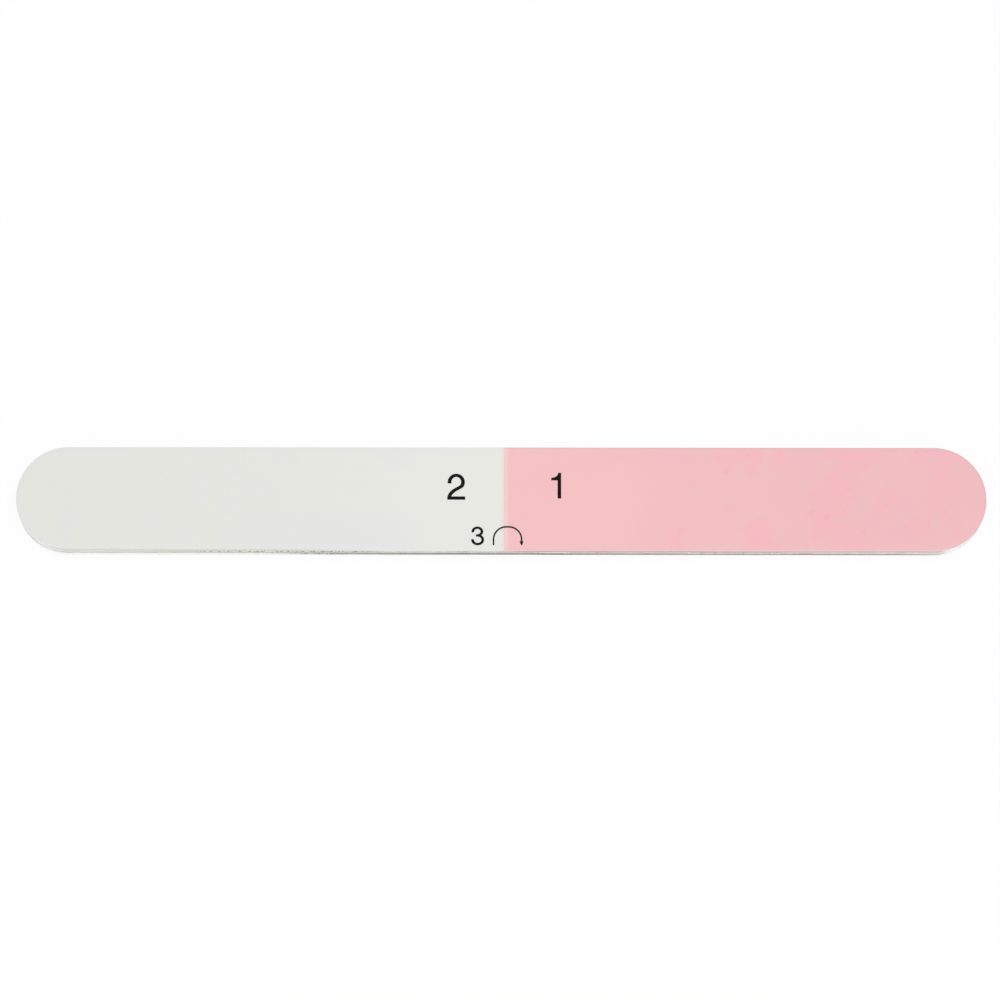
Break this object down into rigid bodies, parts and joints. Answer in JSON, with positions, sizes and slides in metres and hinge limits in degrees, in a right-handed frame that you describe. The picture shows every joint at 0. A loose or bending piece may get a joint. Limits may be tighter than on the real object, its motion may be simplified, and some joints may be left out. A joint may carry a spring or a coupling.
{
  "type": "nail polishing file",
  "caption": "Flat foam-cored nail file with round ends, a white and a pink abrasive sheet butted on the front, a grey shine sheet on the rear, and printed step numerals.",
  "frame": {"origin": "middle of the rear (shine) face, at mid length and mid width", "axes": "+X along the length towards the pink smoothing end, +Y across the width towards the tops of the printed numerals, +Z out of the printed front face"},
  "size_m": [0.178, 0.0194, 0.004],
  "materials": {
    "board": "white polystyrene board with a die-cut edge, satin",
    "adhesive": "clear acrylic transfer adhesive, slightly yellow",
    "foam": "soft closed-cell foam, matt, with fine cut cells on the edge",
    "film": "thin white polyester film",
    "grey_film": "thin grey polyester film under the shine coat",
    "pink_grit": "very fine pink abrasive coat, matt",
    "white_grit": "very fine white abrasive coat, matt",
    "shine": "smooth grey buffing coat, silky",
    "ink": "black printing ink, slightly glossy"
  },
  "bodies": {
    "root": {"core_board": "board", "front_core_adhesive": "adhesive", "rear_core_adhesive": "adhesive", "front_foam": "foam", "rear_foam": "foam", "smoothing_sheet_adhesive": "adhesive", "smoothing_film": "film", "smoothing_coat": "pink_grit", "polishing_sheet_adhesive": "adhesive", "polishing_film": "film", "polishing_coat": "white_grit", "shine_sheet_adhesive": "adhesive", "shine_film": "grey_film", "shine_coat": "shine", "numeral_one_ink": "ink", "numeral_two_ink": "ink", "numeral_three_ink": "ink", "turn_arrow_ink": "ink"}
  },
  "joints": []
}
